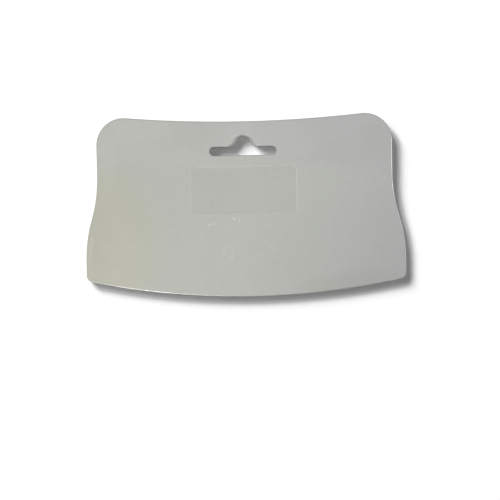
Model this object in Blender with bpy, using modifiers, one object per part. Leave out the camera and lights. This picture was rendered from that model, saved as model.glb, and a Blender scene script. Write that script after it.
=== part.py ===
"""A one-piece moulded plastic spatula: a flat scraper plate with a curved working edge.

The whole object is a single injection moulding, so the model is one solid. It lies on its
flat back. X runs along the working edge, +Y points from the working edge to the grip edge
and +Z comes out of the moulded front. The origin is under the middle of the plate.
Lengths are metres and angles are radians.
"""

import math

import bmesh
import bpy
from mathutils import Matrix, Vector

# Outline of the plate. The blade reaches out past the waist by the same amount on each side.
# Heights count from the lowest point of the working edge.
WAIST_WIDTH = 0.1418
BLADE_REACH = 0.0062
CENTRE_HEIGHT = 0.0840
WORKING_EDGE_RADIUS = 0.3650
GRIP_DIP_RADIUS = 0.6000
SHOULDER_RADIUS = 0.0132
BLADE_CORNER_RADIUS = 0.0031
WAIST_STRAIGHT = 0.0146
BLADE_STRAIGHT = 0.0067

# Thickness. The back is flat and the front slopes down to the working edge.
GRIP_THICKNESS = 0.0026
EDGE_THICKNESS = 0.0021
RIM_LAND = 0.0012

# Hanging slot: two arms and a round crown for the display hook. The crown is wider on the
# front than on the back, so its wall leans. Its arc ends at the crown angle over the level.
SLOT_WIDTH = 0.0320
SLOT_ARM_HEIGHT = 0.0042
FRONT_CROWN_RADIUS = 0.0057
FRONT_CROWN_TOP = 0.0098
BACK_CROWN_RADIUS = 0.0035
BACK_CROWN_TOP = 0.0088
CROWN_ANGLE = math.radians(21)
SLOT_RIM_RADIUS = 0.0005
SLOT_BELOW_GRIP = 0.0064

# Shallow sunk panel under the slot.
PANEL_WIDTH = 0.0512
PANEL_HEIGHT = 0.0221
PANEL_CORNER_RADIUS = 0.0027
PANEL_DEPTH = 0.0003
PANEL_LIP_RADIUS = 0.0001
PANEL_BELOW_SLOT = 0.0053

# Round witness marks on the back: ejector pins round the plate and one gate in the middle.
PIN_MARK_RADIUS = 0.0030
GATE_MARK_RADIUS = 0.0016
MARK_DEPTH = 0.00015
PIN_MARK_FROM_SIDE = 0.0150
PIN_MARK_BELOW_GRIP = 0.0160
PIN_MARK_ABOVE_EDGE = 0.0230
GATE_MARK_ABOVE_EDGE = 0.0340

# The flat that a fillet leaves on the wall beside it.
FILLET_LAND = 0.00005

# How finely curves are cut into straight pieces.
CHORD_ERROR = 0.00001
ROUNDING_SEGMENTS = 4
LIP_SEGMENTS = 2
MARK_STEPS = 24
CROWN_STEPS = 12
CROWN_FILLET_STEPS = 9
SHARP_ANGLE = math.radians(40)
STRAIGHT_ANGLE = math.radians(0.0001)
CUTTER_MARGIN = 0.0020
SLOT_CUTTER_MARGIN = 0.0003
WELD_DISTANCE = 0.000001

# Natural polyethylene, a pale grey with a breath of green.
PLASTIC_COLOUR = (0.479, 0.485, 0.451, 1.0)
PLASTIC_ROUGHNESS = 0.42
PLASTIC_IOR = 1.51


def arc(centre, radius, start, end, count=0):
    """Points of an arc from angle start to angle end, both ends included."""
    step = 2 * math.acos(1 - CHORD_ERROR / abs(radius))
    count = count or max(2, math.ceil(abs(end - start) / step))
    angles = [start + (end - start) * i / count for i in range(count + 1)]
    return [centre + radius * Vector((math.cos(a), math.sin(a))) for a in angles]


def direction(from_point, to_point):
    """Angle of the line from one point to another."""
    return math.atan2(to_point.y - from_point.y, to_point.x - from_point.x)


def mirrored(half):
    """A closed outline from its right half, which runs between two points on the centre line."""
    half[0].x = 0
    half[-1].x = 0
    left = [Vector((-p.x, p.y)) for p in reversed(half[1:-1])]
    return half + left


def blade_width():
    """Overall width of the plate, across the blade."""
    return WAIST_WIDTH + 2 * BLADE_REACH


def shoulder_centre():
    """Centre of the arc that joins the grip edge to the waist on the right."""
    x = WAIST_WIDTH / 2 - SHOULDER_RADIUS
    reach = GRIP_DIP_RADIUS + SHOULDER_RADIUS
    return Vector((x, CENTRE_HEIGHT + GRIP_DIP_RADIUS - math.sqrt(reach**2 - x**2)))


def blade_corner_centre():
    """Centre of the arc that joins the working edge to the side on the right."""
    x = blade_width() / 2 - BLADE_CORNER_RADIUS
    reach = WORKING_EDGE_RADIUS - BLADE_CORNER_RADIUS
    return Vector((x, WORKING_EDGE_RADIUS - math.sqrt(reach**2 - x**2)))


def full_height():
    """Height of the shoulders, the highest points of the plate, over the working edge."""
    return shoulder_centre().y + SHOULDER_RADIUS


def side_flare(top, bottom):
    """The side's two equal arcs, hollow then round, from the waist out to the blade."""
    turn = 2 * math.atan2(bottom.x - top.x, top.y - bottom.y)
    if abs(turn) < STRAIGHT_ANGLE:
        return [top, bottom]
    radius = (top.y - bottom.y) / 2 / math.sin(turn)
    hollow = arc(top + Vector((radius, 0)), radius, math.pi, math.pi + turn)
    rounded = arc(bottom - Vector((radius, 0)), radius, turn, 0)
    return hollow + rounded[1:]


def plate_outline():
    """The plate's outline, round from the middle of the grip edge."""
    dip = Vector((0, CENTRE_HEIGHT + GRIP_DIP_RADIUS))
    shoulder = shoulder_centre()
    working = Vector((0, WORKING_EDGE_RADIUS))
    corner = blade_corner_centre()
    at_shoulder = direction(dip, shoulder)
    at_corner = direction(working, corner)
    grip_edge = arc(dip, GRIP_DIP_RADIUS, -math.pi / 2, at_shoulder)
    shoulder_arc = arc(shoulder, SHOULDER_RADIUS, at_shoulder + math.pi, 0)
    flare_top = Vector((WAIST_WIDTH / 2, shoulder.y - WAIST_STRAIGHT))
    flare_bottom = Vector((blade_width() / 2, corner.y + BLADE_STRAIGHT))
    flare = side_flare(flare_top, flare_bottom)
    corner_arc = arc(corner, BLADE_CORNER_RADIUS, 0, at_corner)
    working_edge = arc(working, WORKING_EDGE_RADIUS, at_corner, -math.pi / 2)
    half = grip_edge + shoulder_arc[1:] + flare + corner_arc + working_edge[1:]
    return mirrored(half)


def slot_bottom():
    """Height of the hanging slot's straight lower side."""
    return CENTRE_HEIGHT - SLOT_BELOW_GRIP - FRONT_CROWN_TOP


def crown_radius(level):
    """Radius of the crown at a level over the back."""
    return BACK_CROWN_RADIUS + (FRONT_CROWN_RADIUS - BACK_CROWN_RADIUS) * level / GRIP_THICKNESS


def crown_top(level):
    """Height of the crown's top over the slot's lower side, at a level over the back."""
    return BACK_CROWN_TOP + (FRONT_CROWN_TOP - BACK_CROWN_TOP) * level / GRIP_THICKNESS


def crown_fillet_radius(level):
    """Radius of the corners that lead from the crown onto the arms, at a level over the back."""
    rise = crown_top(level) - SLOT_ARM_HEIGHT
    return rise / (1 - math.sin(CROWN_ANGLE)) - crown_radius(level)


def slot_outline(level):
    """The hanging slot's outline at a level over the back, round from the top of its crown."""
    end_radius = SLOT_ARM_HEIGHT / 2
    radius = crown_radius(level)
    fillet_radius = crown_fillet_radius(level)
    crown = Vector((0, crown_top(level) - radius))
    out = Vector((math.cos(CROWN_ANGLE), math.sin(CROWN_ANGLE)))
    fillet = crown + (radius + fillet_radius) * out
    end = Vector((SLOT_WIDTH / 2 - end_radius, end_radius))
    crown_arc = arc(crown, radius, math.pi / 2, CROWN_ANGLE, CROWN_STEPS)
    fillet_end = 3 * math.pi / 2
    fillet_start = CROWN_ANGLE + math.pi
    fillet_arc = arc(fillet, fillet_radius, fillet_start, fillet_end, CROWN_FILLET_STEPS)
    end_arc = arc(end, end_radius, math.pi / 2, -math.pi / 2)
    half = crown_arc + fillet_arc[1:] + end_arc + [Vector((0, 0))]
    return [p + Vector((0, slot_bottom())) for p in mirrored(half)]


def panel_outline():
    """The panel's outline, a rectangle with round corners about its own centre."""
    inner = Vector((PANEL_WIDTH / 2, PANEL_HEIGHT / 2))
    inner -= Vector((PANEL_CORNER_RADIUS, PANEL_CORNER_RADIUS))
    upper = arc(inner, PANEL_CORNER_RADIUS, math.pi / 2, 0)
    lower = arc(Vector((inner.x, -inner.y)), PANEL_CORNER_RADIUS, 0, -math.pi / 2)
    right = upper + lower
    return right + [-p for p in right]


def front_slope():
    """Rise of the front face over the back for each unit of height."""
    return (GRIP_THICKNESS - EDGE_THICKNESS) / full_height()


def thickness(height):
    """Thickness of the plate at a height over the working edge."""
    return EDGE_THICKNESS + front_slope() * height


def rim_radius():
    """Radius of the rounded rim at the grip edge, with a narrow land between front and back."""
    return (GRIP_THICKNESS - RIM_LAND) / 2


def fillet_within(radius, wall):
    """A fillet's radius where two such fillets share a wall."""
    return min(radius, (wall - FILLET_LAND) / 2)


def slot_rim_radius():
    """Radius of the slot's rounded rim, inside its wall and its own corner fillets."""
    on_wall = fillet_within(SLOT_RIM_RADIUS, thickness(slot_bottom()))
    corner = min(crown_fillet_radius(0), crown_fillet_radius(GRIP_THICKNESS))
    return min(on_wall, corner - FILLET_LAND)


def new_collection(name, hidden=False):
    """A collection in the scene."""
    made = bpy.data.collections.new(name)
    bpy.context.scene.collection.children.link(made)
    made.hide_render = hidden
    return made


def plastic():
    """The plate's one material."""
    material = bpy.data.materials.new("natural_polyethylene")
    material.use_nodes = True
    shader = material.node_tree.nodes["Principled BSDF"]
    shader.inputs["Base Color"].default_value = PLASTIC_COLOUR
    shader.inputs["Roughness"].default_value = PLASTIC_ROUGHNESS
    shader.inputs["IOR"].default_value = PLASTIC_IOR
    shader.inputs["Metallic"].default_value = 0.0
    return material


def slab(name, outline, depth, collection):
    """A flat mesh slab of an outline, depth thick and centred on z = 0."""
    curve = bpy.data.curves.new(name, "CURVE")
    curve.dimensions = "2D"
    curve.fill_mode = "BOTH"
    curve.extrude = depth / 2
    spline = curve.splines.new("POLY")
    spline.points.add(len(outline) - 1)
    for point, place in zip(spline.points, outline):
        point.co = (place.x, place.y, 0, 1)
    spline.use_cyclic_u = True
    drawn = bpy.data.objects.new(name + "_outline", curve)
    collection.objects.link(drawn)
    bpy.context.view_layer.update()
    evaluated = drawn.evaluated_get(bpy.context.evaluated_depsgraph_get())
    mesh = bpy.data.meshes.new_from_object(evaluated)
    made = bpy.data.objects.new(name, mesh)
    made.matrix_world = drawn.matrix_world
    collection.objects.link(made)
    bpy.data.objects.remove(drawn)
    shape = bmesh.new()
    shape.from_mesh(mesh)
    bmesh.ops.remove_doubles(shape, verts=shape.verts, dist=WELD_DISTANCE)
    for side in (1, -1):
        cap = [f for f in shape.faces if f.normal.z * side > 0.5]
        bmesh.ops.dissolve_faces(shape, faces=cap)
    bmesh.ops.recalc_face_normals(shape, faces=shape.faces)
    shape.to_mesh(mesh)
    shape.free()
    return made


def is_cutter(obj):
    """Marks an object as a helper that only shapes the plate."""
    obj.hide_render = True
    obj.display_type = "WIRE"
    return obj


def round_and_taper(mesh):
    """Rounds the slab's rim, then thins it towards the working edge, with its back at z = 0.

    The seam down the middle gives the slot and the panel a line to end on when they are cut.
    """
    shape = bmesh.new()
    shape.from_mesh(mesh)
    bmesh.ops.translate(shape, vec=(0, 0, GRIP_THICKNESS / 2), verts=shape.verts)
    bmesh.ops.bevel(
        shape,
        geom=[e for e in shape.edges if e.calc_face_angle() > SHARP_ANGLE],
        affect="EDGES",
        offset=rim_radius(),
        segments=ROUNDING_SEGMENTS,
        profile=0.5,
        material=-1,
    )
    for vertex in shape.verts:
        vertex.co.z *= thickness(vertex.co.y) / GRIP_THICKNESS
    bmesh.ops.bisect_plane(
        shape,
        geom=shape.verts[:] + shape.edges[:] + shape.faces[:],
        dist=WELD_DISTANCE,
        plane_co=(0, 0, 0),
        plane_no=(1, 0, 0),
        use_snap_center=True,
    )
    shape.to_mesh(mesh)
    shape.free()


def slot_cutter(collection):
    """A column the shape of the hanging slot, longer than the wall it cuts."""
    shape = bmesh.new()
    rings = []
    for level in (-SLOT_CUTTER_MARGIN, GRIP_THICKNESS + SLOT_CUTTER_MARGIN):
        rings.append([shape.verts.new((p.x, p.y, level)) for p in slot_outline(level)])
    lower, upper = rings
    shape.faces.new(lower)
    shape.faces.new(upper)
    for i in range(len(lower)):
        shape.faces.new((lower[i - 1], lower[i], upper[i], upper[i - 1]))
    bmesh.ops.recalc_face_normals(shape, faces=shape.faces)
    mesh = bpy.data.meshes.new("slot_cutter")
    shape.to_mesh(mesh)
    shape.free()
    cutter = bpy.data.objects.new("slot_cutter", mesh)
    collection.objects.link(cutter)
    return is_cutter(cutter)


def panel_cutter(collection):
    """A tile that sinks the panel squarely into the sloping front."""
    cutter = slab("panel_cutter", panel_outline(), 2 * CUTTER_MARGIN, collection)
    height = slot_bottom() - PANEL_BELOW_SLOT - PANEL_HEIGHT / 2
    slope = math.atan(front_slope())
    out_of_front = Vector((0, -math.sin(slope), math.cos(slope)))
    on_front = Vector((0, height, thickness(height)))
    cutter.rotation_euler.x = slope
    cutter.location = on_front + out_of_front * (CUTTER_MARGIN - PANEL_DEPTH)
    return is_cutter(cutter)


def mark_places():
    """Centre and radius of each round mark on the back."""
    side = WAIST_WIDTH / 2 - PIN_MARK_FROM_SIDE
    upper = full_height() - PIN_MARK_BELOW_GRIP
    pins = [(x, y, PIN_MARK_RADIUS) for x in (-side, side) for y in (PIN_MARK_ABOVE_EDGE, upper)]
    return pins + [(0, GATE_MARK_ABOVE_EDGE, GATE_MARK_RADIUS)]


def mark_cutter(collection):
    """Short cylinders that press the round marks into the back."""
    shape = bmesh.new()
    for x, y, radius in mark_places():
        bmesh.ops.create_cone(
            shape,
            cap_ends=True,
            segments=MARK_STEPS,
            radius1=radius,
            radius2=radius,
            depth=2 * CUTTER_MARGIN,
            matrix=Matrix.Translation((x, y, MARK_DEPTH - CUTTER_MARGIN)),
        )
    mesh = bpy.data.meshes.new("mark_cutter")
    shape.to_mesh(mesh)
    shape.free()
    cutter = bpy.data.objects.new("mark_cutter", mesh)
    collection.objects.link(cutter)
    return is_cutter(cutter)


def add_cut(plate, name, cutter):
    """Cuts one shape out of the plate."""
    cut = plate.modifiers.new(name, "BOOLEAN")
    cut.operation = "DIFFERENCE"
    cut.solver = "EXACT"
    cut.object = cutter


def add_rounding(plate, name, width, segments):
    """Rounds every edge that is still sharp."""
    rounding = plate.modifiers.new(name, "BEVEL")
    rounding.width = width
    rounding.segments = segments
    rounding.limit_method = "ANGLE"
    rounding.angle_limit = SHARP_ANGLE
    rounding.use_clamp_overlap = False
    rounding.miter_outer = "MITER_SHARP"


def build_plate(parts, cutters):
    """The whole spatula, cut and rounded in the order that a mould maker would sink it."""
    plate = slab("spatula_plate", plate_outline(), GRIP_THICKNESS, parts)
    round_and_taper(plate.data)
    add_cut(plate, "hanging_slot", slot_cutter(cutters))
    add_rounding(plate, "slot_rim", slot_rim_radius(), ROUNDING_SEGMENTS)
    add_cut(plate, "panel", panel_cutter(cutters))
    lip = fillet_within(PANEL_LIP_RADIUS, PANEL_DEPTH)
    add_rounding(plate, "panel_lip", lip, LIP_SEGMENTS)
    add_cut(plate, "back_marks", mark_cutter(cutters))
    plate.data.materials.append(plastic())
    plate.data.shade_smooth()
    normals = plate.modifiers.new("even_shading", "WEIGHTED_NORMAL")
    normals.keep_sharp = True
    return plate


def centre_on_origin(objects):
    """Moves the plate and its cutters so that the origin is under the plate's middle."""
    for obj in objects:
        obj.location.y -= full_height() / 2


def main():
    for obj in list(bpy.data.objects):
        bpy.data.objects.remove(obj)
    parts = new_collection("plastic_spatula")
    cutters = new_collection("cutters", hidden=True)
    plate = build_plate(parts, cutters)
    centre_on_origin([plate, *cutters.objects])


main()
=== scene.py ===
"""The looks of a one-piece moulded plastic spatula, lying on a pale studio floor.

The plate lies on its flat back. X runs along the working edge, +Y points from the working
edge to the grip edge and +Z comes out of the moulded front. The origin is under the middle
of the plate. Lengths are metres, and angles are radians unless a name says degrees.
"""

import logging
import math
from collections.abc import Iterable
from dataclasses import dataclass, field
from enum import Enum
from functools import cached_property

import bmesh
import bpy
from mathutils import Matrix, Vector


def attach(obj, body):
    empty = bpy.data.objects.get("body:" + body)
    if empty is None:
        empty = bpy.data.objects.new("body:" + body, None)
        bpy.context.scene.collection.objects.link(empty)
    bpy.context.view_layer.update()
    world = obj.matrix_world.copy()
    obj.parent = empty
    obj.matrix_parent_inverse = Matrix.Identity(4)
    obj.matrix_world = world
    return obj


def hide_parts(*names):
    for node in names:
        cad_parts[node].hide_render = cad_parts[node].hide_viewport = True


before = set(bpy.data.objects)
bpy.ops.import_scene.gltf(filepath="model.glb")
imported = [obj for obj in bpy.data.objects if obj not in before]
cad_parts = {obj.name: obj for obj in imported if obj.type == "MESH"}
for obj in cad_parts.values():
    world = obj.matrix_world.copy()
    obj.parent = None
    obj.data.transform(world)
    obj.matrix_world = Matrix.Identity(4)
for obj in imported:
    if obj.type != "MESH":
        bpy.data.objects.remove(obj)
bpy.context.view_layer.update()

LOG = logging.getLogger("spatula")
CUBIC_MILLIMETRES = 1e9

# Width of the square picture.
PIXELS = 500

# How far off a border a point may lie and still count as on it.
SLACK = 0.00001

# A face is level where the upright part of its normal is above this.
LEVEL = 0.9

Colour = tuple[float, float, float]
Socket = bpy.types.NodeSocket
Value = Socket | float | Colour
Part = bmesh.types.BMVert | bmesh.types.BMEdge | bmesh.types.BMFace


def add_to_scene(name: str, data: bpy.types.ID) -> bpy.types.Object:
    """Makes an object and puts it in the scene.

    Args:
        name: The object's name.
        data: Its mesh, lamp or lens.

    Returns:
        The object, at the origin.
    """
    made = bpy.data.objects.new(name, data)
    bpy.context.scene.collection.objects.link(made)
    return made


def sort_parts(shape: bmesh.types.BMesh) -> None:
    """Sorts a bmesh's points, edges and faces by place.

    Some bmesh operators leave them in another order on every run.

    Args:
        shape: The bmesh.
    """

    def place(part: Part) -> tuple[float, ...]:
        """Middle of a part's points, to a tenth of a micrometre."""
        points = [part.co] if isinstance(part, bmesh.types.BMVert) else [v.co for v in part.verts]
        return tuple(round(sum(axis) / len(points), 7) for axis in zip(*points))

    for parts in (shape.verts, shape.edges, shape.faces):
        ranks = {part: rank for rank, part in enumerate(sorted(parts, key=place))}
        parts.sort(key=ranks.get)


def piece_from(shape: bmesh.types.BMesh, name: str) -> bpy.types.Object:
    """Turns a bmesh into a piece.

    Args:
        shape: The bmesh, which is freed.
        name: The piece's name.

    Returns:
        The piece, with its place in its mesh.
    """
    mesh = bpy.data.meshes.new(name)
    sort_parts(shape)
    shape.to_mesh(mesh)
    shape.free()
    return add_to_scene(name, mesh)


def once_each(parts: Iterable[Part]) -> list[Part]:
    """Lists parts of a bmesh once each.

    A set would put them in another order on every run, and change how flat faces are cut.

    Args:
        parts: The parts, some of them more than once.

    Returns:
        The parts, in the order in which they first come.
    """
    return list(dict.fromkeys(parts))


def round_off(
    shape: bmesh.types.BMesh, edges: list[bmesh.types.BMEdge], radius: float, segments: int
) -> list[bmesh.types.BMFace]:
    """Rounds some edges.

    Args:
        shape: The bmesh that they are in.
        edges: The edges.
        radius: Radius of the rounding where two faces meet squarely.
        segments: Faces across the rounding.

    Returns:
        The faces of the rounding.
    """
    rounded = bmesh.ops.bevel(
        shape,
        geom=edges,
        affect="EDGES",
        offset=radius,
        segments=segments,
        profile=0.5,
        material=-1,
    )
    return rounded["faces"]


def heading(start: Vector, end: Vector) -> float:
    """Angle of the line from one place to another, anticlockwise from +X."""
    return math.atan2(end.y - start.y, end.x - start.x)


def in_box(place: Vector, width: float, bottom: float, height: float) -> bool:
    """Tells whether a place is in a box on the plate's middle line, or on its border."""
    beside = abs(place.x) <= width / 2 + SLACK
    return beside and bottom - SLACK <= place.y <= bottom + height + SLACK


@dataclass
class Pen:
    """Draws an outline in a bmesh by pulling one point along straights and arcs.

    Attributes:
        shape: The bmesh that the outline is drawn in.
        level: Height over the floor that the pen draws at.
        chord_error: How far an arc's straight pieces may stray from the true arc.
        fewest_pieces: How many straight pieces an arc has at least.
        tip: The point that the pen is on.
    """

    shape: bmesh.types.BMesh
    level: float
    chord_error: float = 0.000002
    fewest_pieces: int = 2
    tip: bmesh.types.BMVert | None = None

    def put_down(self, x: float, y: float) -> bmesh.types.BMVert:
        """Starts the outline at a place across the plate and over the working edge."""
        self.tip = bmesh.ops.create_vert(self.shape, co=(x, y, self.level))["vert"][0]
        return self.tip

    def line_to(self, x: float, y: float) -> None:
        """Pulls the tip straight to a place.

        Args:
            x: The place across the plate.
            y: The place over the working edge.
        """
        self.tip = bmesh.ops.extrude_vert_indiv(self.shape, verts=[self.tip])["verts"][0]
        step = Vector((x, y, self.level)) - self.tip.co
        bmesh.ops.translate(self.shape, vec=step, verts=[self.tip])

    def sweep(self, centre: Vector, turn: float, pieces: int = 0) -> None:
        """Swings the tip round a centre, anticlockwise for a turn above zero.

        Args:
            centre: The arc's centre.
            turn: How far the tip swings.
            pieces: How many straight pieces the arc has, or 0 for as many as it needs.
        """
        radius = (self.tip.co.xy - centre).length
        step = 2 * math.acos(1 - self.chord_error / radius)
        swept = bmesh.ops.spin(
            self.shape,
            geom=[self.tip],
            cent=(centre.x, centre.y, 0.0),
            axis=(0.0, 0.0, 1.0),
            dvec=(0.0, 0.0, 0.0),
            angle=turn,
            steps=pieces or max(self.fewest_pieces, math.ceil(abs(turn) / step)),
            use_duplicate=False,
        )
        self.tip = next(p for p in swept["geom_last"] if isinstance(p, bmesh.types.BMVert))

    def close(self, first: bmesh.types.BMVert) -> None:
        """Joins the tip to the outline's first point."""
        bmesh.ops.contextual_create(self.shape, geom=[self.tip, first])


@dataclass
class PlateOutline:
    """Sizes of the plate's outline, with heights over the lowest point of the working edge.

    Attributes:
        waist_width: Width across the straight sides under the shoulders.
        blade_reach: How far the blade reaches out past the waist on each side.
        centre_height: Height of the grip edge at its middle.
        working_edge_radius: Radius of the round working edge.
        grip_dip_radius: Radius of the hollow grip edge.
        shoulder_radius: Radius of the two upper corners.
        blade_corner_radius: Radius of the two lower corners.
        waist_straight: Length of the straight under each shoulder.
        blade_straight: Length of the straight over each lower corner.
    """

    waist_width: float = 0.1418
    blade_reach: float = 0.0062
    centre_height: float = 0.0840
    working_edge_radius: float = 0.3650
    grip_dip_radius: float = 0.6000
    shoulder_radius: float = 0.0132
    blade_corner_radius: float = 0.0031
    waist_straight: float = 0.0146
    blade_straight: float = 0.0067

    def half_blade(self) -> float:
        """Half of the overall width."""
        return self.waist_width / 2 + self.blade_reach

    def dip_centre(self) -> Vector:
        """Centre of the hollow grip edge."""
        return Vector((0.0, self.centre_height + self.grip_dip_radius))

    def shoulder_centre(self) -> Vector:
        """Centre of the upper right corner.

        Returns:
            The centre of the arc that touches the grip edge and the waist.
        """
        x = self.waist_width / 2 - self.shoulder_radius
        reach = self.grip_dip_radius + self.shoulder_radius
        return Vector((x, self.dip_centre().y - math.sqrt(reach**2 - x**2)))

    def corner_centre(self) -> Vector:
        """Centre of the lower right corner.

        Returns:
            The centre of the arc that touches the working edge and the side.
        """
        x = self.half_blade() - self.blade_corner_radius
        reach = self.working_edge_radius - self.blade_corner_radius
        return Vector((x, self.working_edge_radius - math.sqrt(reach**2 - x**2)))

    def full_height(self) -> float:
        """Height of the shoulders, the highest points of the plate."""
        return self.shoulder_centre().y + self.shoulder_radius

    def draw(self, pen: Pen) -> None:
        """Draws the right half, from the middle of the grip edge to the lowest point.

        Args:
            pen: The pen, already on the middle of the grip edge.
        """
        dip = self.dip_centre()
        shoulder = self.shoulder_centre()
        corner = self.corner_centre()
        working = Vector((0.0, self.working_edge_radius))
        at_shoulder = heading(dip, shoulder)
        at_corner = heading(working, corner)
        pen.sweep(dip, at_shoulder + math.pi / 2)
        pen.sweep(shoulder, -at_shoulder - math.pi)
        top = Vector((self.waist_width / 2, shoulder.y - self.waist_straight))
        bottom = Vector((self.half_blade(), corner.y + self.blade_straight))
        pen.line_to(top.x, top.y)
        turn = 2 * math.atan2(bottom.x - top.x, top.y - bottom.y)
        radius = (top.y - bottom.y) / 2 / math.sin(turn)
        pen.sweep(top + Vector((radius, 0.0)), turn)
        pen.sweep(bottom - Vector((radius, 0.0)), -turn)
        pen.line_to(bottom.x, corner.y)
        pen.sweep(corner, at_corner)
        pen.sweep(working, -math.pi / 2 - at_corner)


@dataclass(frozen=True)
class Crown:
    """Sizes of the round crown over the slot's arms, on one face of the plate.

    Attributes:
        radius: Radius of the crown.
        top: Height of its top over the slot's lower side.
        end_angle: Angle over the level at which its arc ends on either side.
        pieces: Straight pieces round each half of the crown.
        fillet_pieces: Straight pieces round each corner.
    """

    radius: float
    top: float
    end_angle: float = math.radians(21.0)
    pieces: int = 28
    fillet_pieces: int = 20

    def fillet_radius(self, arm_height: float) -> float:
        """Radius of the corners that touch both the crown and an arm of some height."""
        return (self.top - arm_height) / (1 - math.sin(self.end_angle)) - self.radius


@dataclass
class HangingSlot:
    """Sizes of the hanging slot: two arms with a round crown for the display hook.

    Attributes:
        bottom: Height of its straight lower side over the working edge.
        width: Width over both arms.
        arm_height: Height of the arms.
        front_crown: The crown on the front.
        back_crown: The narrower crown on the back, which makes the crown's wall lean.
        rim_radius: Radius of the rounded rim on both faces.
        rim_segments: Faces across that rounding.
    """

    bottom: float = 0.0678
    width: float = 0.0320
    arm_height: float = 0.0042
    front_crown: Crown = Crown(radius=0.0057, top=0.0098)
    back_crown: Crown = Crown(radius=0.0035, top=0.0088)
    rim_radius: float = 0.0005
    rim_segments: int = 8

    def draw(self, pen: Pen, crown: Crown) -> None:
        """Draws the right half, from the middle of the lower side to the top of the crown.

        Args:
            pen: The pen, on the plate's middle line under the slot.
            crown: The crown on the face that is drawn.
        """
        end_radius = self.arm_height / 2
        end = Vector((self.width / 2 - end_radius, self.bottom + end_radius))
        middle = Vector((0.0, self.bottom + crown.top - crown.radius))
        reach = crown.radius + crown.fillet_radius(self.arm_height)
        at_fillet = crown.end_angle
        fillet = middle + reach * Vector((math.cos(at_fillet), math.sin(at_fillet)))
        pen.line_to(0.0, self.bottom)
        pen.line_to(end.x, self.bottom)
        pen.sweep(end, math.pi)
        pen.line_to(fillet.x, self.bottom + self.arm_height)
        pen.sweep(fillet, at_fillet - math.pi / 2, crown.fillet_pieces)
        pen.sweep(middle, math.pi / 2 - at_fillet, crown.pieces)

    def holds(self, place: Vector) -> bool:
        """Tells whether a place, with its height over the working edge, is in the slot's box."""
        return in_box(place, self.width, self.bottom, self.front_crown.top)


@dataclass
class SunkPanel:
    """Sizes of the shallow panel sunk into the front under the slot.

    Attributes:
        bottom: Height of its lower side over the working edge.
        width: Width over both sides.
        height: Height between its lower and its upper side.
        corner_radius: Radius of its four corners.
        depth: How far its floor lies under the front.
        draft: How far each wall leans in on its way down.
        lip_angle: An edge of a wall that turns by more than this is rounded.
        lip_radius: Rounding along the top and the foot of the walls.
        lip_segments: Faces across that rounding.
    """

    bottom: float = 0.0404
    width: float = 0.0512
    height: float = 0.0221
    corner_radius: float = 0.0027
    depth: float = 0.0003
    draft: float = 0.00012
    lip_angle: float = 0.6
    lip_radius: float = 0.0001
    lip_segments: int = 4

    def draw(self, pen: Pen) -> None:
        """Draws the right half, from the middle of the lower side to that of the upper.

        Args:
            pen: The pen, on the plate's middle line under the panel.
        """
        right = self.width / 2 - self.corner_radius
        low = self.bottom + self.corner_radius
        high = self.bottom + self.height - self.corner_radius
        pen.line_to(0.0, self.bottom)
        pen.line_to(right, self.bottom)
        pen.sweep(Vector((right, low)), math.pi / 2)
        pen.line_to(self.width / 2, high)
        pen.sweep(Vector((right, high)), math.pi / 2)
        pen.line_to(0.0, self.bottom + self.height)

    def holds(self, place: Vector) -> bool:
        """Tells whether a place, with its height over the working edge, is in the panel's box."""
        return in_box(place, self.width, self.bottom, self.height)


@dataclass
class BackMarks:
    """Sizes of the round witness marks that a mould leaves on the flat back.

    Attributes:
        pin_radius: Radius of an ejector pin's mark.
        gate_radius: Radius of the trimmed gate's mark.
        depth: How far the marks are pressed in.
        pin_across: How far the pins stand from the middle line.
        pin_heights: Heights of the lower and the upper pins over the working edge.
        gate_height: Height of the gate over the working edge.
        steps: Straight pieces round one mark.
    """

    pin_radius: float = 0.0030
    gate_radius: float = 0.0016
    depth: float = 0.00015
    pin_across: float = 0.0559
    pin_heights: tuple[float, float] = (0.0230, 0.07072)
    gate_height: float = 0.0340
    steps: int = 48

    def places(self) -> list[tuple[float, float, float]]:
        """Lists the marks.

        Returns:
            Each mark's place across, height over the working edge, and radius.
        """
        pins = [(side * self.pin_across, y) for side in (-1, 1) for y in self.pin_heights]
        marks = [(x, y, self.pin_radius) for x, y in pins]
        return marks + [(0.0, self.gate_height, self.gate_radius)]

    def draw(self, shape: bmesh.types.BMesh) -> list[list[bmesh.types.BMEdge]]:
        """Draws the marks' circles on the back.

        Args:
            shape: The plate, with its back open.

        Returns:
            The edges of each circle.
        """
        circles = []
        for x, y, radius in self.places():
            ring = bmesh.ops.create_circle(
                shape,
                cap_ends=False,
                radius=radius,
                segments=self.steps,
                matrix=Matrix.Translation((x, y, 0.0)),
            )
            circles.append(once_each(e for v in ring["verts"] for e in v.link_edges))
        return circles

    def press(self, shape: bmesh.types.BMesh, circles: list[list[bmesh.types.BMEdge]]) -> None:
        """Sinks the marks into the back and floors them.

        Args:
            shape: The plate, with its back closed round the circles.
            circles: The edges of each circle.
        """
        for circle in circles:
            pulled = bmesh.ops.extrude_edge_only(shape, edges=circle)["geom"]
            points = [p for p in pulled if isinstance(p, bmesh.types.BMVert)]
            edges = [p for p in pulled if isinstance(p, bmesh.types.BMEdge)]
            loop = [e for e in edges if all(v in points for v in e.verts)]
            bmesh.ops.translate(shape, vec=(0.0, 0.0, self.depth), verts=points)
            bmesh.ops.edgeloop_fill(shape, edges=loop)


@dataclass(frozen=True)
class Fade:
    """A change from one value to another while a number rises.

    Attributes:
        low: The number at which the change starts.
        high: The number at which it ends.
        start: The value before the change.
        end: The value after it.
        smooth: True for a change that eases in and out, False for an even one.
    """

    low: float
    high: float
    start: float = 0.0
    end: float = 1.0
    smooth: bool = True


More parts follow.
